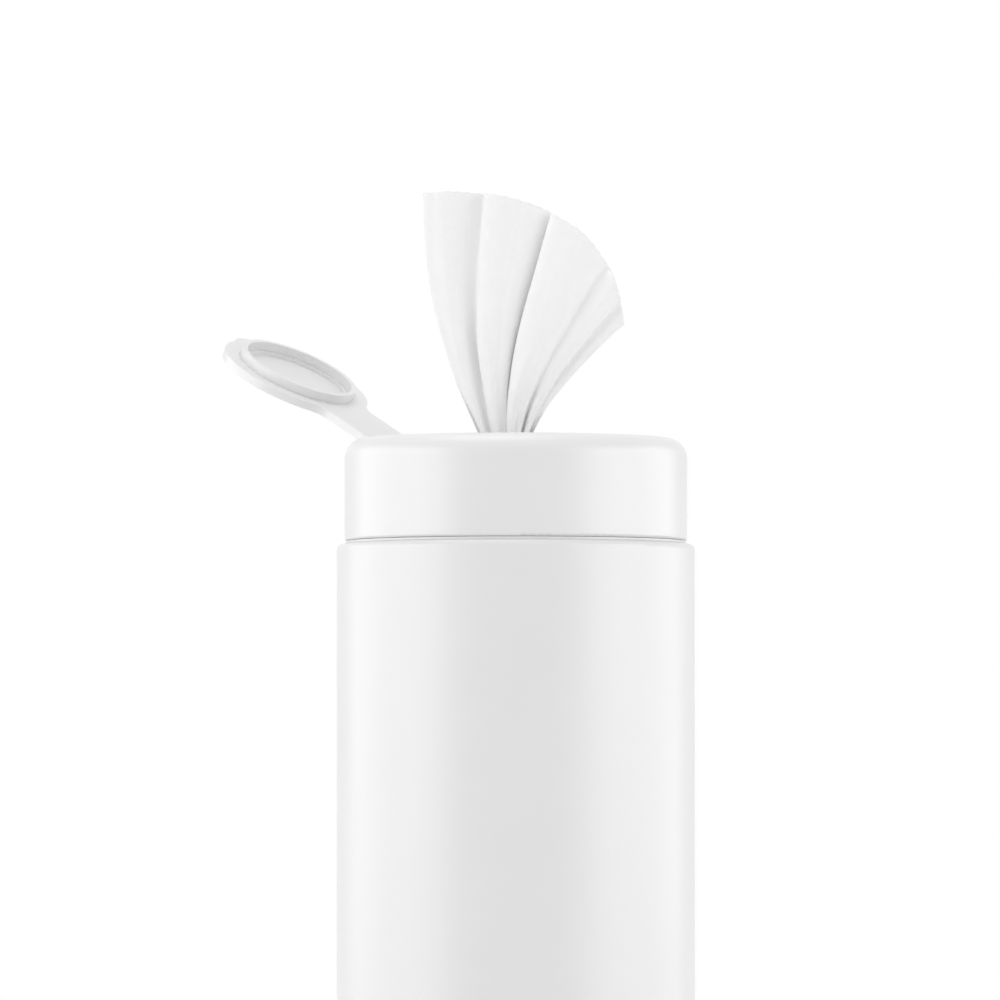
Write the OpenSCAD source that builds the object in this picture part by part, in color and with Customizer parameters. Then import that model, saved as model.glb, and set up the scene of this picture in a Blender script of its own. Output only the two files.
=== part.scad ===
// Countertop wipes dispenser: a round canister with a screw cap, a flip lid on a hinge pin,
// a soft star valve, and a roll of wipes that is drawn out from its middle.
// The canister stands on the plane z = 0 with its axis on z. The front is -y.

/* [Canister] */
// Outer diameter of the body
body_d = 90; // [84:1:100]
// Wall of the body
body_wall = 1.6; // [1.2:0.1:2.2]
// Height of the shoulder, where the straight body ends, above the table
shoulder_z = 173.4; // [150:0.2:200]
// Rounding of the shoulder's outer edge
shoulder_round = 1.6; // [0.8:0.1:2.4]
// Thickness of the shoulder
shoulder_t = 1.8; // [1.4:0.1:2.4]
// Rounding of the base's outer edge
base_round = 4; // [2:0.5:5]
// Thickness of the floor
floor_t = 1.8; // [1.4:0.1:3]
// Height of the neck above the shoulder
neck_h = 18.6; // [17:0.1:19]
// Wall of the neck
neck_wall = 1.5; // [1.2:0.1:2]

/* [Foot pad] */
// Diameter of the soft pad under the base
pad_d = 76; // [60:1:78]
// Thickness of the pad
pad_t = 2; // [1.5:0.1:3]
// How far the pad stands out below the base
pad_proud = 0.8; // [0.4:0.1:1.2]
// Gap round the pad in its recess
pad_gap = 0.2; // [0.1:0.05:0.4]

/* [Screw cap] */
// Height of the cap
cap_h = 25.8; // [25:0.2:30]
// How far the body stands out beyond the cap all round
cap_step = 1.9; // [1.2:0.1:3]
// Wall of the cap's skirt
cap_wall = 2; // [1.6:0.1:2.4]
// Thickness of the cap's top
cap_top_t = 2.2; // [1.8:0.1:2.6]
// Rounding of the cap's top edge
cap_round = 5.2; // [4:0.1:6.5]
// Rounding of the skirt's lower outer edge
skirt_round = 0.7; // [0.4:0.1:1]
// Open seam between the skirt and the shoulder
seam_gap = 0.8; // [0.5:0.1:1.2]
// Thickness of the sealing ring between the neck and the cap
liner_t = 1.5; // [1:0.1:1.8]

/* [Thread] */
// Rise of the thread in one full turn of the cap
thread_lead = 10; // [9:0.5:12]
// Number of separate threads
thread_starts = 2; // [2, 3]
// Height of the thread above the neck
thread_depth = 1.2; // [1:0.1:1.4]
// Gap between the neck's thread and the cap's wall
thread_gap = 0.5; // [0.4:0.05:0.7]
// Gap between the flanks of the two threads
flank_gap = 0.35; // [0.3:0.05:0.5]
// Width of a thread at its crest
crest_w = 0.8; // [0.6:0.1:1]
// Width of a thread at its root
root_w = 2.6; // [2.2:0.1:2.8]

/* [Flip lid] */
// Direction of the hinge round the cap, in degrees from +x
hinge_azimuth = 141.5; // [100:0.5:180]
// How far the lid swings open, in degrees
open_angle = 151; // [140:1:152]
// Distance of the hinge pin from the cap's side
pin_inset = 3.1; // [2.9:0.1:3.6]
// Depth of the pin's axis below the cap's top
pin_drop = 1.4; // [1.2:0.1:1.8]
// Diameter of the hinge pin
pin_d = 1.6; // [1.2:0.1:1.8]
// Diameter of the lid's disc
lid_d = 39.2; // [36:0.2:42]
// Thickness of the lid's disc and arm
lid_t = 2; // [1.6:0.1:2.2]
// Width of the lid's arm
arm_w = 17; // [13:0.5:19]
// Fillet between the arm and the disc
arm_fillet = 6; // [3:0.5:8]
// Radius of the lid's knuckle round the pin
knuckle_r = 1.7; // [1.5:0.1:1.9]
// How far the finger tab stands out from the disc
tab_reach = 1.2; // [0.6:0.1:2]
// Radius of the scoop for a fingertip beside the tab
scoop_r = 7; // [6:0.5:9]
// Diameter of the sealing ring under the lid
plug_d = 31.2; // [28:0.2:33]
// Wall of the sealing ring
plug_wall = 1.3; // [1:0.1:1.6]
// Height of the sealing ring below the disc
plug_h = 2.3; // [1.8:0.1:2.6]
// Depth of the shallow recess in the disc inside the sealing ring
lid_recess = 0.9; // [0.5:0.1:1]

/* [Orifice] */
// Distance of the orifice from the cap's axis, towards the hinge
orifice_offset = 3; // [0:0.5:5]
// Diameter of the round window in the well's floor
window_d = 21.6; // [19:0.2:23]
// Thickness of the valve's rim
valve_t = 1; // [0.8:0.1:1.4]
// Height of the valve's petals above the well's floor
petal_rise = 2; // [1.2:0.1:2.2]
// Number of petals
petals = 8; // [5:1:10]
// Width of the slits between the petals
slit_w = 0.6; // [0.4:0.1:0.9]
// Thickness of the ring that holds the valve
retainer_t = 1.5; // [1.2:0.1:2]

/* [Wipes] */
// Clear height from the roll's top to the neck's top
roll_headroom = 18.2; // [16:0.2:40]
// Gap between the roll and the neck it goes in through
roll_gap = 0.9; // [0.6:0.1:3]
// Diameter of the roll's open middle
roll_bore_d = 30; // [26:1:40]
// Diameter of the gathered wipe where it runs through the valve
strand_d = 10.4; // [8:0.2:11]
// Gap between the gathered wipe and the petals
strand_gap = 0.35; // [0.3:0.05:0.6]
// Length of the straight gathered stretch below the valve, the lead wipe's stem included
strand_run = 66; // [60:1:80]
// Height of the lead wipe's top left corner above the cap
wipe_top = 62; // [45:1:75]
// Height of the lead wipe's right corner above the cap
wipe_side = 29.4; // [22:0.2:40]
// Reach of the lead wipe to the left of the orifice
wipe_left = 20.9; // [15:0.5:26]
// Reach of the lead wipe to the right of the orifice
wipe_right = 29.7; // [20:0.5:34]
// How far the lead wipe can be drawn, which is also the length of its stem below the valve
wipe_travel = 50; // [40:1:55]
// Depth of the lead wipe's main folds at its top
fold_depth = 7; // [4:0.5:9]
// Thickness of the lead wipe's layers
wipe_t = 1.4; // [1:0.1:2]

/* [Hidden] */

$fn = 96;
part_gap = 0.4; // room round the lid, its arm and its knuckle
running_gap = 0.05; // room round the hinge pin in the knuckle
pin_fit = 0.02; // room round the hinge pin in the ears
soft_gap = 0.3; // room between a soft ring and a rigid wall
cut_past = 10; // how far a cut runs past the face that it opens

body_r = body_d / 2;
floor_z = pad_t + floor_t; // the pad's upper face carries the floor
neck_top_z = shoulder_z + neck_h;
cap_bottom_z = shoulder_z + seam_gap;
cap_top_z = cap_bottom_z + cap_h;
cap_r = body_r - cap_step;
cap_inner_r = cap_r - cap_wall;
neck_r = cap_inner_r - thread_gap - thread_depth;
neck_inner_r = neck_r - neck_wall;
seat_z = neck_top_z + liner_t; // where the cap presses on the sealing ring
seat_w = 1.8; // width of the rib that presses on the sealing ring
ceiling_z = cap_top_z - cap_top_t;

// Thread form: both threads reach a little into the wall that carries them
thread_bite = 0.25;
thread_step = 10; // degrees in one straight piece of a thread
thread_start_z = shoulder_z + 4.1;
thread_turn = 360; // length of each thread on the neck, in degrees
cap_thread_from = 20; // the cap's threads are shorter than the neck's
cap_thread_turn = 270;
engagement = thread_depth - thread_gap;
cap_thread_r = neck_r + thread_gap; // crest radius of the cap's threads
flank_slope = (root_w - crest_w) / (thread_depth + thread_bite);
thread_offset = crest_w + engagement * flank_slope / 2 + flank_gap;

// Hinge
pin_r = pin_d / 2;
pin_reach = cap_r - pin_inset;
pin_z = cap_top_z - pin_drop;
pocket_z = pin_z - 1.8; // floor of the pocket that the closed lid lies in
lid_under = 0.3 - 1.8; // underside of the closed disc, from the pin's axis
slot_w = arm_w + 2 * part_gap;
slot_r = knuckle_r + part_gap;
ear_w = 3;
ear_r = pin_r + 1.1;
pin_l = slot_w + 2 * ear_w;
stop_gap = 0.15; // between the open arm and the rim that stops it
stop_in = knuckle_r + 0.35; // inner face of the stop, from the pin's axis
floor_wall = 1.6; // thickness left under the pocket, the well and the slot

// Orifice, well and valve
lid_r = lid_d / 2;
lid_reach = pin_reach - orifice_offset; // from the pin to the middle of the disc
pocket_r = lid_r + part_gap;
plug_r = plug_d / 2;
well_r = plug_r + soft_gap;
well_z = pin_z + lid_under - plug_h - part_gap;
well_floor_t = 1.5;
window_z = well_z - well_floor_t; // underside of the well's floor
window_r = window_d / 2;
strand_r = strand_d / 2;
valve_hole_r = strand_r + strand_gap;
valve_r = window_r + 3;
socket_r = valve_r + 0.2;
socket_wall = 1.6;
retainer_z = window_z - valve_t - retainer_t;
socket_z = retainer_z - 0.4;
snap = 0.35; // height of the retainer's snap bead
groove_depth = 0.8; // how deep the sealing ring is set into the lid
groove_gap = 0.05;

// Roll and gathered wipe
roll_r = neck_inner_r - roll_gap;
roll_top_z = neck_top_z - roll_headroom;
valve_top_z = cap_top_z - 3; // where the lead wipe comes out of the valve
strand_tail = 40; // length of the loosened stretch below the straight one
tail_r = roll_bore_d / 2 - orifice_offset - 1.5; // the tail opens out towards the roll's bore

// Lead wipe: corners and curve handles of its outline, from the orifice at the cap's top
wipe_rows = 16; // the lowest row ends the stem
wipe_columns = 36;
wipe_base = valve_top_z - cap_top_z;
neck_left = [-strand_r, wipe_base];
neck_right = [strand_r, wipe_base];
left_corner = [-wipe_left, wipe_top];
right_corner = [wipe_right, wipe_side];
left_edge = [neck_left, [-0.62 * wipe_left, 0.26 * wipe_top],
    [-0.98 * wipe_left, 0.45 * wipe_top], left_corner];
right_edge = [neck_right, [0.24 * wipe_right, 0.24 * wipe_side],
    [0.6 * wipe_right, 0.62 * wipe_side], right_corner];
top_edge = [left_corner, [0.02 * wipe_left, 1.03 * wipe_top],
    [0.89 * wipe_right, 0.93 * wipe_top], right_corner];
// The main folds: share of the way from the left edge, and depth towards the front
fold_lines = [[0, -0.4], [0.08, 0.35], [0.18, -0.55], [0.27, 0.5], [0.38, 0.65], [0.45, 0.3],
    [0.5, -0.7], [0.56, 0.55], [0.67, 0.95], [0.78, 0.5], [0.82, 0], [0.87, 0.25], [0.93, -0.3],
    [1, -1]];

color_shell = [0.93, 0.93, 0.92];
color_soft = [0.86, 0.86, 0.85];
color_wipe = [0.97, 0.97, 0.96];

// Half of an upright section with its outer edges rounded below and above
module round_section(r, z_low, z_high, round_low, round_high) {
    translate([0, z_low])
        square([r - round_low, round_low + 0.1]);
    translate([0, z_low + round_low])
        square([r, z_high - z_low - round_low - round_high]);
    translate([0, z_high - round_high - 0.1])
        square([r - round_high, round_high + 0.1]);
    translate([r - round_low, z_low + round_low])
        circle(r = round_low);
    translate([r - round_high, z_high - round_high])
        circle(r = round_high);
}

module tube(r_out, r_in, z_low, z_high) {
    translate([0, 0, z_low])
        difference() {
            cylinder(r = r_out, h = z_high - z_low);
            translate([0, 0, -1])
                cylinder(r = r_in, h = z_high - z_low + 2);
        }
}

module at_orifice() {
    rotate([0, 0, hinge_azimuth])
        translate([orifice_offset, 0, 0])
            children();
}

// Origin on the pin's axis, +x outwards, the pin along y
module at_hinge() {
    rotate([0, 0, hinge_azimuth])
        translate([pin_reach, 0, pin_z])
            children();
}

// The closed lid lies towards -x from the pin; this turns it open
module at_open_lid() {
    at_hinge()
        rotate([0, open_angle, 0])
            children();
}

// One thread: a ridge that climbs round the axis and fades out at both ends
module thread(r_root, r_crest, z_start, from, turn) {
    steps = round(turn / thread_step);
    function fade(i) = max(0.03, min(1, i / 3, (steps - i) / 3));
    function ring(i) =
        let (a = from + turn * i / steps,
            z = z_start + thread_lead * turn / 360 * i / steps,
            r = r_root + (r_crest - r_root) * fade(i),
            section = [[r_root, -root_w / 2], [r, -crest_w / 2], [r, crest_w / 2],
                [r_root, root_w / 2]])
        [for (p = section) [p[0] * cos(a), p[0] * sin(a), z + p[1]]];
    points = [for (i = [0:steps]) each ring(i)];
    sides = [for (i = [0:steps - 1], k = [0:3])
        let (a = 4 * i + k, b = 4 * i + (k + 1) % 4)
        each [[a, a + 4, b], [b, a + 4, b + 4]]];
    last = 4 * steps;
    ends = [[0, 1, 2], [0, 2, 3], [last, last + 2, last + 1], [last, last + 3, last + 2]];
    outward = r_crest > r_root;
    faces = [for (f = concat(sides, ends)) outward ? [f[0], f[2], f[1]] : f];
    polyhedron(points = points, faces = faces, convexity = 8);
}

module canister_shell() {
    color(color_shell) {
        difference() {
            union() {
                rotate_extrude()
                    round_section(body_r, pad_proud, shoulder_z, base_round, shoulder_round);
                translate([0, 0, shoulder_z - shoulder_t / 2])
                    cylinder(r = neck_r, h = neck_h + shoulder_t / 2);
                for (k = [0:thread_starts - 1])
                    thread(neck_r - thread_bite, neck_r + thread_depth, thread_start_z,
                        k * 360 / thread_starts, thread_turn);
            }
            rotate_extrude()
                round_section(body_r - body_wall, floor_z, shoulder_z - shoulder_t,
                    base_round - body_wall / 2, shoulder_round);
            translate([0, 0, shoulder_z - 2 * shoulder_t])
                cylinder(r = neck_inner_r, h = neck_h + 3 * shoulder_t);
            translate([0, 0, -1])
                cylinder(r = pad_d / 2 + pad_gap, h = pad_t + 1);
        }
    }
}

module foot_pad() {
    color([0.55, 0.56, 0.57])
        cylinder(r = pad_d / 2, h = pad_t);
}

module wipe_roll() {
    color(color_wipe)
        tube(roll_r, roll_bore_d / 2, floor_z, roll_top_z);
}

// The gathered wipe between the roll's middle and the valve, loosened at its lower end
module wipe_strand() {
    color(color_wipe)
        at_orifice() {
            translate([0, 0, valve_top_z - strand_run])
                cylinder(r = strand_r, h = strand_run - wipe_travel);
            translate([0, 0, valve_top_z - strand_run - strand_tail])
                cylinder(r1 = tail_r, r2 = strand_r, h = strand_tail);
        }
}

function curve(p, t) =
    p[0] * pow(1 - t, 3) + 3 * p[1] * t * pow(1 - t, 2) + 3 * p[2] * t * t * (1 - t)
    + p[3] * pow(t, 3);

// Place on the lead wipe's outline, blended between its four edges
function spread(s, t) =
    (1 - t) * (neck_left * (1 - s) + neck_right * s) + t * curve(top_edge, s)
    + (1 - s) * curve(left_edge, t) + s * curve(right_edge, t)
    - (1 - s) * (1 - t) * neck_left - s * (1 - t) * neck_right
    - (1 - s) * t * left_corner - s * t * right_corner;

// Depth of the folds, which grow from the round neck to the open top
function fold(s, t) = -fold_depth * lookup(s, fold_lines) * sin(90 * min(1, 1.3 * t));

// Half thickness: round at the neck, an even layer further up
function half_layer(s, t) =
    let (round_part = strand_r * sqrt(max(0, 1 - pow(2 * s - 1, 2))),
        layer = wipe_t / 2 * min(1, 0.4 + 20 * min(s, 1 - s)),
        k = min(1, 3.5 * t))
    max(0.25, round_part * (1 - k) + layer * k);

module lead_wipe() {
    rows = wipe_rows - 1;
    columns = wipe_columns - 1;
    count = wipe_rows * wipe_columns;
    function place(i, j, side) =
        let (s = j / columns, t = max(0, i - 1) / (rows - 1), p = spread(s, t))
        [p[0], fold(s, t) + side * half_layer(s, t), i == 0 ? p[1] - wipe_travel : p[1]];
    points = [for (side = [-1, 1], i = [0:rows], j = [0:columns]) place(i, j, side)];
    function at(i, j, side) = side * count + i * wipe_columns + j;
    front = [for (i = [0:rows - 1], j = [0:columns - 1])
        each [[at(i, j, 0), at(i + 1, j, 0), at(i, j + 1, 0)],
            [at(i, j + 1, 0), at(i + 1, j, 0), at(i + 1, j + 1, 0)]]];
    back = [for (i = [0:rows - 1], j = [0:columns - 1])
        each [[at(i, j, 1), at(i, j + 1, 1), at(i + 1, j, 1)],
            [at(i, j + 1, 1), at(i + 1, j + 1, 1), at(i + 1, j, 1)]]];
    low_rim = [for (j = [0:columns - 1])
        each [[at(0, j, 0), at(0, j + 1, 0), at(0, j, 1)],
            [at(0, j + 1, 0), at(0, j + 1, 1), at(0, j, 1)]]];
    high_rim = [for (j = [0:columns - 1])
        each [[at(rows, j, 0), at(rows, j, 1), at(rows, j + 1, 0)],
            [at(rows, j + 1, 0), at(rows, j, 1), at(rows, j + 1, 1)]]];
    left_rim = [for (i = [0:rows - 1])
        each [[at(i, 0, 0), at(i, 0, 1), at(i + 1, 0, 0)],
            [at(i + 1, 0, 0), at(i, 0, 1), at(i + 1, 0, 1)]]];
    right_rim = [for (i = [0:rows - 1])
        each [[at(i, columns, 0), at(i + 1, columns, 0), at(i, columns, 1)],
            [at(i + 1, columns, 0), at(i + 1, columns, 1), at(i, columns, 1)]]];
    color(color_wipe)
        at_orifice()
            rotate([0, 0, -hinge_azimuth])
                translate([0, 0, cap_top_z])
                    polyhedron(points = points,
                        faces = concat(front, back, low_rim, high_rim, left_rim, right_rim),
                        convexity = 12);
}

module cap_liner() {
    color(color_soft)
        tube(cap_inner_r - soft_gap, neck_inner_r - 0.5, neck_top_z, seat_z);
}

// Outline of the lid seen from above, with the disc's middle at the origin and the pin at +x
module lid_outline(grow) {
    fillet_y = arm_w / 2 + arm_fillet;
    fillet_x = sqrt(pow(lid_r + arm_fillet, 2) - pow(fillet_y, 2));
    circle(r = lid_r + grow);
    translate([0, -arm_w / 2 - grow])
        square([lid_reach, arm_w + 2 * grow]);
    for (side = [-1, 1])
        scale([1, side])
            difference() {
                polygon([[0, 0], [fillet_x, 0], [fillet_x, fillet_y]]);
                translate([fillet_x, fillet_y])
                    circle(r = arm_fillet - grow);
            }
}

module finger_tab(grow) {
    tab_r = 7;
    translate([tab_r - lid_r - tab_reach, 0])
        circle(r = tab_r + grow);
}

module cap_shell() {
    difference() {
        rotate_extrude()
            round_section(cap_r, cap_bottom_z, cap_top_z, skirt_round, cap_round);
        rotate_extrude()
            round_section(cap_inner_r, cap_bottom_z - 5, ceiling_z, skirt_round,
                cap_round - cap_wall);
    }
}

// Ribs, bosses and sockets that stand inside the cap
module cap_inside() {
    plate_z = ceiling_z + cap_top_t / 2;
    tube(neck_r, neck_r - seat_w, seat_z, plate_z);
    at_orifice() {
        translate([0, 0, pocket_z - floor_wall])
            linear_extrude(plate_z - pocket_z + floor_wall) {
                circle(r = pocket_r + floor_wall);
                translate([-lid_r, 0])
                    circle(r = scoop_r + floor_wall);
            }
        translate([0, 0, window_z])
            cylinder(r = well_r + floor_wall, h = plate_z - window_z);
        tube(socket_r + socket_wall, socket_r, socket_z, window_z + 0.5);
    }
    intersection() {
        translate([0, 0, seat_z])
            cylinder(r = cap_inner_r + cap_wall / 2, h = cap_top_z - seat_z);
        at_hinge() {
            wide = slot_w + 2 * ear_w;
            translate([-lid_reach, -slot_w / 2 - floor_wall, -pin_z + pocket_z - floor_wall])
                cube([lid_reach, slot_w + 2 * floor_wall, plate_z - pocket_z + floor_wall]);
            translate([-slot_r - floor_wall, -wide / 2, -slot_r - floor_wall])
                cube([slot_r + floor_wall + pin_inset, wide, floor_wall + 1]);
        }
    }
}

// Ears for the pin, and the rim between them that the open arm stops against
module hinge_block() {
    wide = slot_w + 2 * ear_w;
    deep = slot_r + floor_wall;
    intersection() {
        translate([0, 0, pin_z - deep])
            cylinder(r = cap_r, h = deep + 2 * ear_r);
        at_hinge() {
            for (side = [-1, 1])
                translate([0, side * (slot_w + ear_w) / 2, 0]) {
                    rotate([90, 0, 0])
                        cylinder(r = ear_r, h = ear_w, center = true);
                    translate([-ear_r, -ear_w / 2, -deep])
                        cube([2 * ear_r, ear_w, deep]);
                }
            difference() {
                translate([stop_in, -wide / 2, -deep])
                    cube([pin_inset + 1, wide, deep + ear_r]);
                rotate([0, open_angle - 180, 0])
                    translate([0, -wide, -lid_t - lid_under - stop_gap])
                        cube([4 * pin_inset, 2 * wide, cut_past]);
            }
        }
    }
}

module screw_cap() {
    color(color_shell)
        difference() {
            union() {
                cap_shell();
                cap_inside();
                hinge_block();
                for (k = [0:thread_starts - 1])
                    thread(cap_inner_r + thread_bite, cap_thread_r,
                        thread_start_z - thread_offset + thread_lead * cap_thread_from / 360,
                        k * 360 / thread_starts + cap_thread_from, cap_thread_turn);
            }
            at_orifice() {
                translate([0, 0, pocket_z])
                    linear_extrude(cap_top_z - pocket_z + 5) {
                        lid_outline(part_gap);
                        finger_tab(part_gap);
                        translate([-lid_r, 0])
                            circle(r = scoop_r);
                    }
                translate([0, 0, well_z])
                    cylinder(r = well_r, h = cut_past);
                translate([0, 0, window_z - 1])
                    cylinder(r = window_r + 0.1, h = cut_past);
                translate([0, 0, retainer_z + 0.5])
                    cylinder(r = socket_r + snap, h = 0.7);
            }
            at_hinge() {
                translate([-slot_r, -slot_w / 2, -slot_r])
                    cube([slot_r + stop_in, slot_w, cut_past]);
                rotate([90, 0, 0])
                    cylinder(r = pin_r + pin_fit, h = pin_l + cut_past, center = true);
            }
        }
}

module orifice_valve() {
    petal_t = 0.9;
    color(color_soft)
        at_orifice()
            difference() {
                translate([0, 0, window_z])
                    rotate_extrude()
                        polygon([[window_r - 1.6, -valve_t], [valve_r, -valve_t], [valve_r, 0],
                            [window_r, 0], [window_r - 0.6, well_floor_t],
                            [valve_hole_r, well_floor_t + petal_rise],
                            [valve_hole_r, well_floor_t + petal_rise - petal_t]]);
                for (k = [0:petals - 1])
                    rotate([0, 0, k * 360 / petals])
                        translate([0, -slit_w / 2, window_z - valve_t + 1.6])
                            cube([window_r - 1.8, slit_w, well_floor_t + petal_rise]);
            }
}

module valve_retainer() {
    color(color_shell)
        at_orifice()
            translate([0, 0, retainer_z])
                rotate_extrude()
                    polygon([[window_r - 0.8, 0], [socket_r - 0.15, 0], [socket_r - 0.15, 0.6],
                        [socket_r + snap - 0.15, 0.75], [socket_r + snap - 0.15, 0.95],
                        [socket_r - 0.15, 1.1], [socket_r - 0.15, retainer_t],
                        [window_r - 0.8, retainer_t]]);
}

module flip_lid() {
    color(color_shell)
        at_open_lid()
            difference() {
                union() {
                    translate([-lid_reach, 0, lid_under])
                        linear_extrude(lid_t) {
                            lid_outline(0);
                            finger_tab(0);
                        }
                    rotate([90, 0, 0])
                        cylinder(r = knuckle_r, h = arm_w, center = true);
                }
                rotate([90, 0, 0])
                    cylinder(r = pin_r + running_gap, h = arm_w + cut_past, center = true);
                translate([-lid_reach, 0, 0]) {
                    tube(plug_r + groove_gap, plug_r - plug_wall - groove_gap, lid_under - 1,
                        lid_under + groove_depth);
                    translate([0, 0, lid_under - 1])
                        cylinder(r = plug_r - plug_wall - 1, h = lid_recess + 1);
                }
            }
}

module lid_plug_seal() {
    color(color_soft)
        at_open_lid()
            translate([-lid_reach, 0, 0])
                tube(plug_r, plug_r - plug_wall, lid_under - plug_h, lid_under + groove_depth);
}

module hinge_pin() {
    color([0.75, 0.76, 0.78])
        at_hinge()
            rotate([90, 0, 0])
                cylinder(r = pin_r, h = pin_l, center = true);
}

canister_shell();
foot_pad();
wipe_roll();
wipe_strand();
lead_wipe();
cap_liner();
screw_cap();
orifice_valve();
valve_retainer();
flip_lid();
lid_plug_seal();
hinge_pin();
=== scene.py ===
import math

import bmesh
import bpy
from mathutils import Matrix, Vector, noise


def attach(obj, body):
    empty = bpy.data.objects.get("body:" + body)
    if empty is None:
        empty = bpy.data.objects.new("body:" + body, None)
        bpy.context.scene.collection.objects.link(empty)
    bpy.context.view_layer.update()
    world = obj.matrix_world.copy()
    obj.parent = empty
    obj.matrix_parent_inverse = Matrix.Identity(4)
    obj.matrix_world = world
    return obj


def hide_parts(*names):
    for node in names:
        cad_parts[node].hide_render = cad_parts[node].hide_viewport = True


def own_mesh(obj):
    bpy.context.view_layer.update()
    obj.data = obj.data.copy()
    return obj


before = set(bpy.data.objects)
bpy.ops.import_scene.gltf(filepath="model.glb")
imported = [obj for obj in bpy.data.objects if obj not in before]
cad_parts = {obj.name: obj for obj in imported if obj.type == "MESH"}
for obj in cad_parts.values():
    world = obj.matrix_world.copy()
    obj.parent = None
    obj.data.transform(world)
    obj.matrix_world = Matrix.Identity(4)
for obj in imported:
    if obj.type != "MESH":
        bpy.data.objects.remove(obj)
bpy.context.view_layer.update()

MM = 0.001

# Sizes shared with the solids, in millimetres
CAP_TOP = 200.0
SHOULDER_Z = 173.4
HINGE_AZIMUTH = math.radians(141.5)
ORIFICE_OFFSET = 3.0
STRAND_R = 5.2
VALVE_TOP = 197.0
WIPE_TRAVEL = 50.0
STRAND_RUN = 66.0
STRAND_TAIL = 40.0
ROLL_R = 37.0
ROLL_BORE_R = 15.0
ROLL_LOW = 3.8
ROLL_TOP = 173.8

ORIFICE = Vector((ORIFICE_OFFSET * math.cos(HINGE_AZIMUTH), ORIFICE_OFFSET * math.sin(HINGE_AZIMUTH), 0))

# Wipe sizes, in millimetres: the part that stands above the valve, and the sheet it is cut from
WIPE_TOP = 62.0
WIPE_SIDE = 29.4
WIPE_LEFT = 20.9
WIPE_RIGHT = 29.7


# Camera

PHOTO_FIELD = 251.4  # width of the photograph at the canister's axis
CAMERA_DISTANCE = 2600.0
CAMERA_Z = 97.0
AIM = Vector((-4.0, 0.0, 184.5))


def make_camera():
    data = bpy.data.cameras.new("camera")
    camera = bpy.data.objects.new("camera", data)
    bpy.context.scene.collection.objects.link(camera)
    place = Vector((AIM.x, -CAMERA_DISTANCE, CAMERA_Z))
    look = AIM - place
    camera.location = place * MM
    camera.rotation_euler = look.to_track_quat("-Z", "Y").to_euler()
    data.sensor_width = 36.0
    data.lens = data.sensor_width * look.length / PHOTO_FIELD
    data.clip_end = 50
    bpy.context.scene.camera = camera


# Mesh making

def mesh_piece(name, points, faces, smooth=True):
    """A mesh object from points in millimetres."""
    mesh = bpy.data.meshes.new(name)
    mesh.from_pydata([Vector(p) * MM for p in points], [], faces)
    mesh.validate()
    piece = bpy.data.objects.new(name, mesh)
    bpy.context.scene.collection.objects.link(piece)
    work = bmesh.new()
    work.from_mesh(mesh)
    bmesh.ops.recalc_face_normals(work, faces=work.faces)
    work.to_mesh(mesh)
    work.free()
    mesh.polygons.foreach_set("use_smooth", [smooth] * len(mesh.polygons))
    return piece


def blend(a, b, k):
    return a + (b - a) * k


def ease(k):
    """0 to 1 with a soft start and end."""
    k = min(1.0, max(0.0, k))
    return k * k * (3 - 2 * k)


def bezier(points, t):
    a, b, c, d = points
    s = 1 - t
    return a * s**3 + b * (3 * t * s * s) + c * (3 * t * t * s) + d * t**3


def spline(points, t):
    """A smooth curve through the points; t runs from 0 to 1."""
    span = t * (len(points) - 1)
    i = min(int(span), len(points) - 2)
    f = span - i
    p1, p2 = points[i], points[i + 1]
    p0 = points[i - 1] if i > 0 else p1 * 2 - p2
    p3 = points[i + 2] if i + 2 < len(points) else p2 * 2 - p1
    return (p1 * 2 + (p2 - p0) * f + (p0 * 2 - p1 * 5 + p2 * 4 - p3) * f * f
            + (p1 * 3 - p0 - p2 * 3 + p3) * f**3) * 0.5


# Lead wipe

NECK_LEFT = Vector((-STRAND_R, VALVE_TOP - CAP_TOP))
NECK_RIGHT = Vector((STRAND_R, VALVE_TOP - CAP_TOP))
LEFT_CORNER = Vector((-WIPE_LEFT, WIPE_TOP))
RIGHT_CORNER = Vector((WIPE_RIGHT, WIPE_SIDE))
LEFT_EDGE = (NECK_LEFT, Vector((-13.0, 16.0)), Vector((-20.5, 28.0)), LEFT_CORNER)
RIGHT_EDGE = (NECK_RIGHT, Vector((7.1, 7.1)), Vector((17.8, 18.2)), RIGHT_CORNER)
TOP_EDGE = (LEFT_CORNER, Vector((0.4, 63.9)), Vector((26.4, 57.7)), RIGHT_CORNER)

# The folds across the sheet, from its left edge: share of the fan's width, depth towards the front.
# Where the share runs back the sheet lies double, and both of its edges are turned behind the fan.
FOLDS = [Vector(p) for p in (
    (0.50, -4.6), (0.40, -5.6), (0.3, -6.0), (0.18, -5.7), (0.07, -4.8), (0.005, -3.4),
    (0.0, -2.0), (0.012, -0.9), (0.04, 0.1), (0.075, 1.5), (0.11, 1.7), (0.15, 0.7),
    (0.19, -0.8), (0.225, -1.6), (0.238, -1.0), (0.236, 0.5), (0.244, 2.0), (0.27, 3.4),
    (0.305, 4.1), (0.34, 3.9), (0.375, 3.3), (0.41, 3.5), (0.445, 2.9), (0.478, 1.4),
    (0.503, 0.2), (0.516, 0.1), (0.514, 1.0), (0.507, 2.2), (0.512, 3.5), (0.53, 4.7),
    (0.56, 5.5), (0.61, 6.0), (0.67, 6.1), (0.715, 5.6), (0.75, 4.6), (0.775, 3.2),
    (0.795, 2.2), (0.815, 2.3), (0.835, 3.3), (0.86, 4.2), (0.885, 4.2), (0.91, 3.2),
    (0.925, 1.8), (0.922, 0.4), (0.905, -0.6), (0.9, -1.6), (0.915, -2.6), (0.94, -2.6),
    (0.965, -2.2), (0.99, -2.9), (1.0, -4.2), (0.99, -5.4), (0.95, -6.2), (0.88, -6.7),
    (0.78, -6.8), (0.68, -6.4), (0.58, -6.6))]
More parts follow.
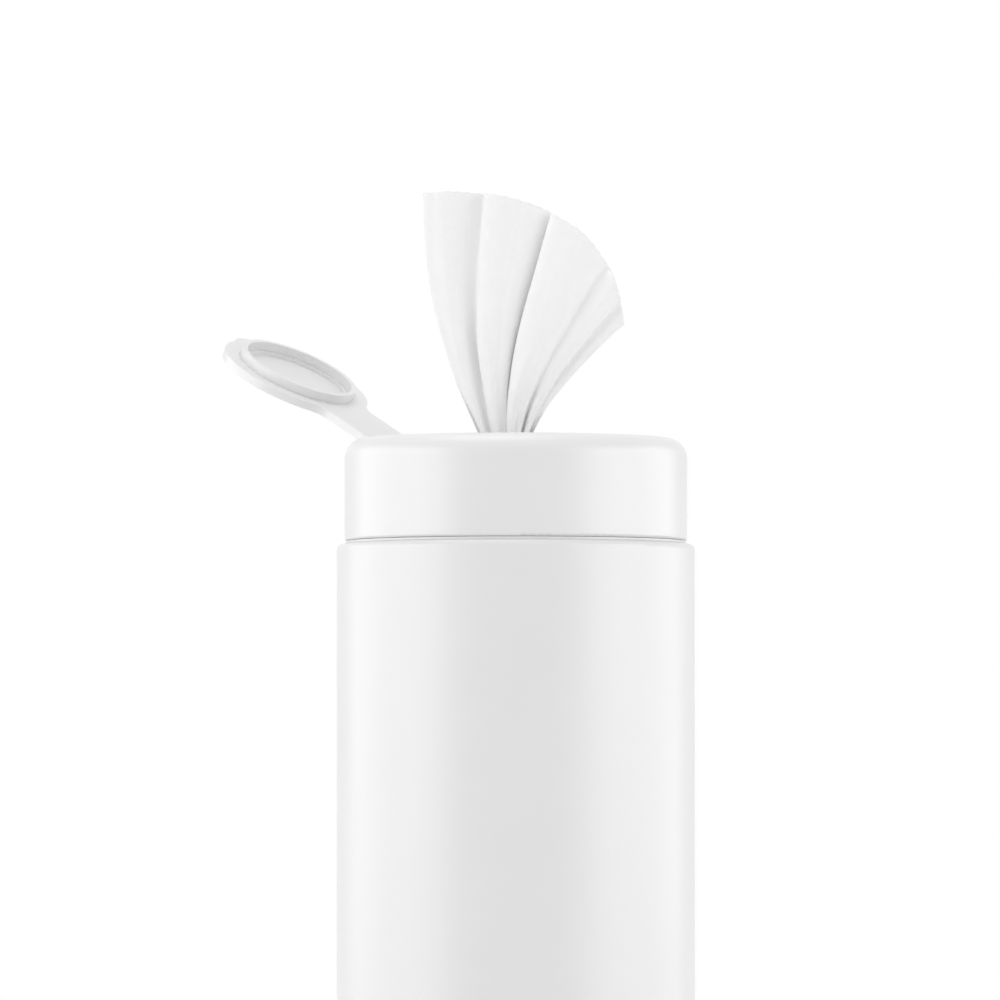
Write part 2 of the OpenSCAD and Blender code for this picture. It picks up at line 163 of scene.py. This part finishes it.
COLUMNS = 440
ROWS = 150
LAYER = 0.32  # thickness of the wipe

# Fine shape of the sheet, in millimetres and counts
PLEATS = 15
PLEAT_DEPTH = 0.7
CRUMPLE_DEPTH = 0.8
FINE_CRUMPLE_DEPTH = 0.22
SIDEWAYS_CRUMPLE = 0.5
TORN_TEETH = 52
TOOTH_HEIGHT = 0.3


def even_steps(points, count, width):
    """The curve through the points in steps of even length, where one share is width long."""
    fine = [spline(points, i / 4000) for i in range(4001)]
    along = [0.0]
    for a, b in zip(fine, fine[1:]):
        along.append(along[-1] + math.hypot((b.x - a.x) * width, b.y - a.y))
    steps = []
    k = 0
    for i in range(count):
        while k < 4000 and along[k] < along[-1] * i / (count - 1):
            k += 1
        steps.append(fine[k])
    return steps


def spread(s, t):
    """Place in the fan's outline, blended between its four edges."""
    low = NECK_LEFT.lerp(NECK_RIGHT, s)
    corners = (NECK_LEFT * ((1 - s) * (1 - t)) + NECK_RIGHT * (s * (1 - t))
               + LEFT_CORNER * ((1 - s) * t) + RIGHT_CORNER * (s * t))
    return (low * (1 - t) + bezier(TOP_EDGE, s) * t + bezier(LEFT_EDGE, t) * (1 - s)
            + bezier(RIGHT_EDGE, t) * s - corners)


def wipe_point(s, t, fold):
    """Place of a point of the sheet: s across the cloth, t up from the valve."""
    across = min(1.0, max(0.0, fold.x))
    flat = spread(across, t)
    grown = math.sin(math.pi / 2 * min(1.0, 1.25 * t))
    round_part = STRAND_R * math.sqrt(max(0.0, 1 - (2 * across - 1) ** 2))
    folded = fold.y * (0.4 + 0.65 * grown)
    folded = max(-round_part, min(round_part, folded)) * (1 - grown) + folded * grown
    flattened = (1 - ease(t * 1.8)) ** 1.3  # the fine pleats fade out above the neck
    pleat = PLEAT_DEPTH * math.sin(2 * math.pi * PLEATS * s + 1.6 * math.sin(7 * s)) * flattened
    crumple = noise.noise(Vector((s * 20, t * 2.4, 3.1))) * CRUMPLE_DEPTH * ease(3 * t)
    fine = noise.noise(Vector((s * 60, t * 7.0, 8.4))) * FINE_CRUMPLE_DEPTH * ease(2 * t)
    depth = folded + pleat + crumple + fine
    side = SIDEWAYS_CRUMPLE * noise.noise(Vector((s * 14, t * 3.0, 21.0))) * ease(2 * t)
    torn = TOOTH_HEIGHT * abs(math.sin(math.pi * TORN_TEETH * s)) * ease(20 * t - 19)
    return Vector((ORIFICE.x + flat.x + side, ORIFICE.y - depth, CAP_TOP + flat.y + 0.5 * side - torn))


def make_solid(piece):
    """Turns the piece's modifiers into mesh, so that a squash flattens its thickness too."""
    graph = bpy.context.evaluated_depsgraph_get()
    mesh = bpy.data.meshes.new_from_object(piece.evaluated_get(graph))
    piece.modifiers.clear()
    piece.data = mesh


def make_lead_wipe():
    folds = even_steps(FOLDS, COLUMNS, 50.0)
    points = [wipe_point(j / (COLUMNS - 1), i / (ROWS - 1), folds[j])
              for i in range(ROWS) for j in range(COLUMNS)]
    faces = [(i * COLUMNS + j, i * COLUMNS + j + 1, (i + 1) * COLUMNS + j + 1, (i + 1) * COLUMNS + j)
             for i in range(ROWS - 1) for j in range(COLUMNS - 1)]
    wipe = mesh_piece("lead_wipe_sheet", points, faces)
    thick = wipe.modifiers.new("thickness", "SOLIDIFY")
    thick.thickness = LAYER * MM
    thick.offset = 0
    make_solid(wipe)
    stem = gathered_rod("lead_wipe_stem", VALVE_TOP - WIPE_TRAVEL, VALVE_TOP + 0.6, 0.0)
    for piece in (wipe, stem):
        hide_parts("lead_wipe")
        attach(piece, "wipe")
    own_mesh(wipe)
    return wipe, stem


# Gathered wipe below the fan

def gathered_rod(name, low, high, tail):
    """A bundle of pleats from low to high; its lowest stretch of length tail is loosened."""
    around = 120
    levels = 100
    tight_r = 4.55
    loose_r = 8.4
    tight_pleat = 0.36
    loose_pleat = 1.0
    points = []
    for i in range(levels):
        z = blend(low, high, i / (levels - 1))
        loose = ease((low + tail - z) / tail) if tail else 0.0
        end = min(i, levels - 1 - i)
        drawn_in = 0.9 * math.exp(-end / 2.0)
        for k in range(around):
            a = 2 * math.pi * k / around
            twist = 0.045 * (z - low)
            lobes = math.sin(8 * a + twist) + 0.5 * math.sin(13 * a - 0.8 * twist)
            r = blend(tight_r, loose_r, loose) - drawn_in + blend(tight_pleat, loose_pleat, loose) * lobes
            points.append((ORIFICE.x + r * math.cos(a), ORIFICE.y + r * math.sin(a), z))
    faces = [(i * around + k, i * around + (k + 1) % around,
              (i + 1) * around + (k + 1) % around, (i + 1) * around + k)
             for i in range(levels - 1) for k in range(around)]
    faces.append(tuple(range(around)))
    faces.append(tuple((levels - 1) * around + k for k in range(around)))
    return mesh_piece(name, points, faces)


def make_strand():
    strand = gathered_rod("next_wipe_strand", VALVE_TOP - STRAND_RUN - STRAND_TAIL,
                          VALVE_TOP - WIPE_TRAVEL, STRAND_TAIL)
    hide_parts("wipe_strand")
    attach(strand, "wipe")
    return strand


# Low bead on the shoulder, just under the cap's skirt

def make_shoulder_bead():
    around = 256
    section = ((41.3, 0.0), (42.7, 0.0), (42.8, 0.12), (42.8, 0.62),
               (42.7, 0.72), (41.4, 0.72), (41.3, 0.6))
    points = []
    for k in range(around):
        a = 2 * math.pi * k / around
        points += [(r * math.cos(a), r * math.sin(a), SHOULDER_Z + up) for r, up in section]
    n = len(section)
    faces = [(k * n + i, k * n + (i + 1) % n, (k + 1) % around * n + (i + 1) % n, (k + 1) % around * n + i)
             for k in range(around) for i in range(n)]
    bead = mesh_piece("shoulder_bead", points, faces)
    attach(bead, "canister")
    return bead


# Roll of wipes, wound as one spiral

def make_roll():
    turns = 44
    steps = 96
    pitch = (ROLL_R - ROLL_BORE_R) / (turns + 1)
    count = turns * steps

    def edge(i, face_z, raised):
        """Place on an end face of the roll, which runs up and down by a fraction of a millimetre."""
        a = 2 * math.pi * i / steps
        r = ROLL_BORE_R + pitch * (i + raised * steps / 2) / steps
        lift = (0.22 if raised else -0.25) + 0.12 * math.sin(0.37 * i / steps * 6.3)
        z = face_z + lift - 0.3 if face_z == ROLL_TOP else face_z - lift + 0.4
        return (r * math.cos(a), r * math.sin(a), z)

    points = []
    for face_z in (ROLL_TOP, ROLL_LOW):
        points += [edge(i, face_z, False) for i in range(count + steps + 1)]
        points += [edge(i, face_z, True) for i in range(count + 1)]
    side = 2 * count + steps + 2
    faces = []

    def valley(i, k):
        return k * side + i

    def crest(i, k):
        return k * side + count + steps + 1 + i

    for k in (0, 1):
        for i in range(count):
            faces.append((valley(i, k), valley(i + 1, k), crest(i + 1, k), crest(i, k)))
            faces.append((crest(i, k), crest(i + 1, k), valley(i + 1 + steps, k), valley(i + steps, k)))
    for i in list(range(steps)) + list(range(count, count + steps)):
        faces.append((valley(i, 0), valley(i + 1, 0), valley(i + 1, 1), valley(i, 1)))
    for i, j in ((0, 0), (count, count)):
        faces.append((valley(i, 0), crest(j, 0), crest(j, 1), valley(i, 1)))
        faces.append((crest(j, 0), valley(i + steps, 0), valley(i + steps, 1), crest(j, 1)))
    roll = mesh_piece("wound_roll", points, faces, smooth=False)
    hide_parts("wipe_roll")
    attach(roll, "roll")
    return roll


# Shader node groups

def new_group(name, inputs, outputs):
    group = bpy.data.node_groups.new(name, "ShaderNodeTree")
    for label, kind, value in inputs:
        socket = group.interface.new_socket(label, in_out="INPUT", socket_type=kind)
        socket.default_value = value
    for label, kind in outputs:
        group.interface.new_socket(label, in_out="OUTPUT", socket_type=kind)
    return group, group.nodes.new("NodeGroupInput"), group.nodes.new("NodeGroupOutput")


def add(tree, kind, settings=None, **values):
    """A node with its settings and its unlinked socket values."""
    node = tree.nodes.new(kind)
    for key, value in (settings or {}).items():
        setattr(node, key, value)
    for key, value in values.items():
        node.inputs[key.replace("_", " ")].default_value = value
    return node


def math_node(tree, operation, a, b=None):
    node = tree.nodes.new("ShaderNodeMath")
    node.operation = operation
    for socket, value in zip(node.inputs, (a, b)):
        if value is None:
            continue
        if hasattr(value, "links"):
            tree.links.new(value, socket)
        else:
            socket.default_value = value
    return node.outputs[0]


def shaded_tone(tree, tone, pattern, low, high, darkest):
    """The tone, brought down to its darkest share where the pattern is low."""
    link = tree.links.new
    shade = add(tree, "ShaderNodeMapRange", From_Min=low, From_Max=high, To_Min=darkest, To_Max=1.0)
    link(pattern, shade.inputs["Value"])
    grey = add(tree, "ShaderNodeCombineColor")
    for channel in ("Red", "Green", "Blue"):
        link(shade.outputs[0], grey.inputs[channel])
    both = add(tree, "ShaderNodeMix", {"data_type": "RGBA", "blend_type": "MULTIPLY"})
    both.inputs[0].default_value = 1.0
    link(tone, both.inputs[6])
    link(grey.outputs[0], both.inputs[7])
    return both.outputs[2]


def make_moulded_group():
    """Fine moulded grain with slow variations of gloss and tone."""
    tree, inp, out = new_group(
        "moulded_skin",
        [("Tone", "NodeSocketColor", (0.8, 0.8, 0.8, 1)), ("Gloss", "NodeSocketFloat", 0.4),
         ("Grain Scale", "NodeSocketFloat", 2200.0), ("Grain", "NodeSocketFloat", 0.1)],
        [("Color", "NodeSocketColor"), ("Roughness", "NodeSocketFloat"), ("Normal", "NodeSocketVector")])
    link = tree.links.new
    place = add(tree, "ShaderNodeTexCoord").outputs["Object"]
    grain = add(tree, "ShaderNodeTexNoise", Detail=3.0, Roughness=0.6)
    link(place, grain.inputs["Vector"])
    link(inp.outputs["Grain Scale"], grain.inputs["Scale"])
    slow = add(tree, "ShaderNodeTexNoise", Scale=38.0, Detail=3.0)
    link(place, slow.inputs["Vector"])
    shift = math_node(tree, "MULTIPLY_ADD", slow.outputs["Fac"], 0.12)
    shift.node.inputs[2].default_value = -0.06
    link(math_node(tree, "ADD", inp.outputs["Gloss"], shift), out.inputs["Roughness"])
    shaded = shaded_tone(tree, inp.outputs["Tone"], slow.outputs["Fac"], 0.3, 0.7, 0.985)
    link(shaded, out.inputs["Color"])
    bump = add(tree, "ShaderNodeBump", Distance=0.00006)
    link(inp.outputs["Grain"], bump.inputs["Strength"])
    link(grain.outputs["Fac"], bump.inputs["Height"])
    link(bump.outputs[0], out.inputs["Normal"])
    return tree


def make_nonwoven_group():
    """Loose fibres with an embossed pattern of small dots."""
    tree, inp, out = new_group(
        "nonwoven_web",
        [("Tone", "NodeSocketColor", (0.9, 0.9, 0.9, 1)), ("Dots", "NodeSocketFloat", 520.0),
         ("Fibre", "NodeSocketFloat", 0.35)],
        [("Color", "NodeSocketColor"), ("Normal", "NodeSocketVector")])
    link = tree.links.new
    place = add(tree, "ShaderNodeTexCoord").outputs["Object"]
    fibre = add(tree, "ShaderNodeTexNoise", Scale=1400.0, Detail=5.0, Roughness=0.7, Distortion=1.5)
    link(place, fibre.inputs["Vector"])
    dots = add(tree, "ShaderNodeTexVoronoi", {"feature": "F1"}, Randomness=0.25)
    link(place, dots.inputs["Vector"])
    link(inp.outputs["Dots"], dots.inputs["Scale"])
    dent = add(tree, "ShaderNodeMapRange", From_Min=0.12, From_Max=0.4)
    link(dots.outputs["Distance"], dent.inputs["Value"])
    height = math_node(tree, "MULTIPLY_ADD", fibre.outputs["Fac"], inp.outputs["Fibre"])
    link(dent.outputs[0], height.node.inputs[2])
    bump = add(tree, "ShaderNodeBump", Strength=0.22, Distance=0.00025)
    link(height, bump.inputs["Height"])
    link(bump.outputs[0], out.inputs["Normal"])
    clouds = add(tree, "ShaderNodeTexNoise", Scale=260.0, Detail=4.0)
    link(place, clouds.inputs["Vector"])
    shaded = shaded_tone(tree, inp.outputs["Tone"], clouds.outputs["Fac"], 0.25, 0.75, 0.97)
    link(shaded, out.inputs["Color"])
    return tree


def new_material(name):
    material = bpy.data.materials.new(name)
    material.use_nodes = True
    return material, material.node_tree, material.node_tree.nodes["Principled BSDF"]


def moulded_material(name, group, tone, gloss, grain=0.1, grain_scale=2200.0, specular=0.5):
    material, tree, shader = new_material(name)
    node = add(tree, "ShaderNodeGroup", {"node_tree": group}, Tone=(*tone, 1), Gloss=gloss, Grain=grain,
               Grain_Scale=grain_scale)
    tree.links.new(node.outputs["Color"], shader.inputs["Base Color"])
    tree.links.new(node.outputs["Roughness"], shader.inputs["Roughness"])
    tree.links.new(node.outputs["Normal"], shader.inputs["Normal"])
    shader.inputs["Specular IOR Level"].default_value = specular
    return material


def nonwoven_material(name, group, tone, dots):
    material, tree, shader = new_material(name)
    node = add(tree, "ShaderNodeGroup", {"node_tree": group}, Tone=(*tone, 1), Dots=dots)
    tree.links.new(node.outputs["Color"], shader.inputs["Base Color"])
    tree.links.new(node.outputs["Normal"], shader.inputs["Normal"])
    shader.inputs["Roughness"].default_value = 0.8
    shader.inputs["Sheen Weight"].default_value = 0.25
    shader.inputs["Sheen Roughness"].default_value = 0.4
    shader.inputs["Specular IOR Level"].default_value = 0.3
    return material


def wire_material(name):
    """Drawn stainless wire: fine scratches along the pin."""
    material, tree, shader = new_material(name)
    place = add(tree, "ShaderNodeTexCoord").outputs["Object"]
    scratch = add(tree, "ShaderNodeTexNoise", Scale=1800.0, Detail=4.0)
    tree.links.new(place, scratch.inputs["Vector"])
    gloss = add(tree, "ShaderNodeMapRange", To_Min=0.2, To_Max=0.42)
    tree.links.new(scratch.outputs["Fac"], gloss.inputs["Value"])
    tree.links.new(gloss.outputs[0], shader.inputs["Roughness"])
    shader.inputs["Base Color"].default_value = (0.62, 0.63, 0.65, 1)
    shader.inputs["Metallic"].default_value = 1.0
    return material


def dress(piece, material):
    piece.data.materials.clear()
    piece.data.materials.append(material)


# Studio

AMBIENT = 0.70
SOFTBOX_POWER = 3.0
REFLECTOR_POWER = 18.0
OVERHEAD_POWER = 4.4


def see_white(tree, seen, lit):
    """Mixes a colour that is seen or mirrored directly with one that only lights."""
    path = tree.nodes.new("ShaderNodeLightPath")
    direct = math_node(tree, "MAXIMUM", path.outputs["Is Camera Ray"], path.outputs["Is Glossy Ray"])
    direct = math_node(tree, "MAXIMUM", direct, path.outputs["Is Transmission Ray"])
    mix = tree.nodes.new("ShaderNodeMixShader")
    tree.links.new(direct, mix.inputs[0])
    tree.links.new(lit, mix.inputs[1])
    tree.links.new(seen, mix.inputs[2])
    return mix.outputs[0]


def make_world(ambient):
    world = bpy.data.worlds.new("studio")
    bpy.context.scene.world = world
    world.use_nodes = True
    tree = world.node_tree
    tree.nodes.clear()
    lit = add(tree, "ShaderNodeBackground", Color=(1, 1, 1, 1), Strength=ambient)
    seen = add(tree, "ShaderNodeBackground", Color=(1, 1, 1, 1), Strength=1.0)
    out = tree.nodes.new("ShaderNodeOutputWorld")
    tree.links.new(see_white(tree, seen.outputs[0], lit.outputs[0]), out.inputs["Surface"])


def make_floor():
    """White floor that keeps the shadow near the object and fades into the white background."""
    half = 3000
    floor = mesh_piece("floor", [(-half, -half, 0), (half, -half, 0), (half, half, 0), (-half, half, 0)],
                       [(0, 1, 2, 3)], smooth=False)
    floor.location.z = -0.0002
    material, tree, shader = new_material("pale_floor")
    link = tree.links.new
    shader.inputs["Base Color"].default_value = (0.86, 0.86, 0.86, 1)
    shader.inputs["Roughness"].default_value = 0.9
    shader.inputs["Specular IOR Level"].default_value = 0.1
    place = add(tree, "ShaderNodeTexCoord").outputs["Object"]
    away = tree.nodes.new("ShaderNodeVectorMath")
    away.operation = "LENGTH"
    link(place, away.inputs[0])
    fade = add(tree, "ShaderNodeMapRange", From_Min=0.15, From_Max=1.2, To_Min=0.16, To_Max=0.6)
    link(away.outputs["Value"], fade.inputs["Value"])
    glow = tree.nodes.new("ShaderNodeEmission")
    link(fade.outputs[0], glow.inputs["Strength"])
    both = tree.nodes.new("ShaderNodeAddShader")
    link(shader.outputs[0], both.inputs[0])
    link(glow.outputs[0], both.inputs[1])
    out = tree.nodes["Material Output"]
    link(see_white(tree, both.outputs[0], shader.outputs[0]), out.inputs["Surface"])
    dress(floor, material)


def area_light(name, place, aim, size, power):
    data = bpy.data.lights.new(name, "AREA")
    data.shape = "RECTANGLE"
    data.size, data.size_y = size
    data.energy = power
    lamp = bpy.data.objects.new(name, data)
    bpy.context.scene.collection.objects.link(lamp)
    lamp.location = Vector(place)
    lamp.rotation_euler = (Vector(aim) - Vector(place)).to_track_quat("-Z", "Y").to_euler()
    return lamp


def make_lights():
    for side, name in ((-1, "left"), (1, "right")):
        area_light(name + "_softbox", place=(side * 1.05, -0.56, 0.4), aim=(0, 0, 0.14),
                   size=(0.8, 1.0), power=SOFTBOX_POWER)
        sheen = area_light(name + "_reflector", place=(side * 1.1, -0.1, 0.2), aim=(0, -0.1, 0.16),
                           size=(2.0, 1.2), power=REFLECTOR_POWER)
        sheen.visible_diffuse = False
    area_light("overhead_softbox", place=(-0.2, 0.1, 1.5), aim=(-0.05, 0.03, 0.2),
               size=(0.8, 0.8), power=OVERHEAD_POWER)


# Building

def dress_solids():
    skin = make_moulded_group()
    web = make_nonwoven_group()
    shell = moulded_material("canister_satin", skin, tone=(0.8, 0.8, 0.8), gloss=0.36)
    cap = moulded_material("cap_satin", skin, tone=(0.81, 0.81, 0.81), gloss=0.34)
    seal = moulded_material("soft_seal", skin, tone=(0.8, 0.8, 0.79), gloss=0.5,
                            grain=0.16, grain_scale=1500.0, specular=0.4)
    pad = moulded_material("foot_rubber", skin, tone=(0.3, 0.31, 0.32), gloss=0.75,
                           grain=0.4, grain_scale=900.0, specular=0.3)
    wire = wire_material("pin_wire")
    for node, material in (("canister_shell", shell), ("foot_pad", pad), ("cap_liner", seal),
                           ("screw_cap", cap), ("orifice_valve", seal), ("valve_retainer", cap),
                           ("flip_lid", cap), ("lid_plug_seal", cap), ("hinge_pin", wire)):
        dress(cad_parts[node], material)
    dress(make_shoulder_bead(), shell)
    clean = nonwoven_material("wipe_nonwoven", web, tone=(0.97, 0.97, 0.97), dots=520.0)
    for piece in make_lead_wipe():
        dress(piece, clean)
    damp = nonwoven_material("damp_nonwoven", web, tone=(0.86, 0.86, 0.86), dots=700.0)
    dress(make_strand(), damp)
    dress(make_roll(), damp)


bpy.context.scene.view_settings.view_transform = "Standard"
make_camera()
make_world(AMBIENT)
make_floor()
make_lights()
dress_solids()
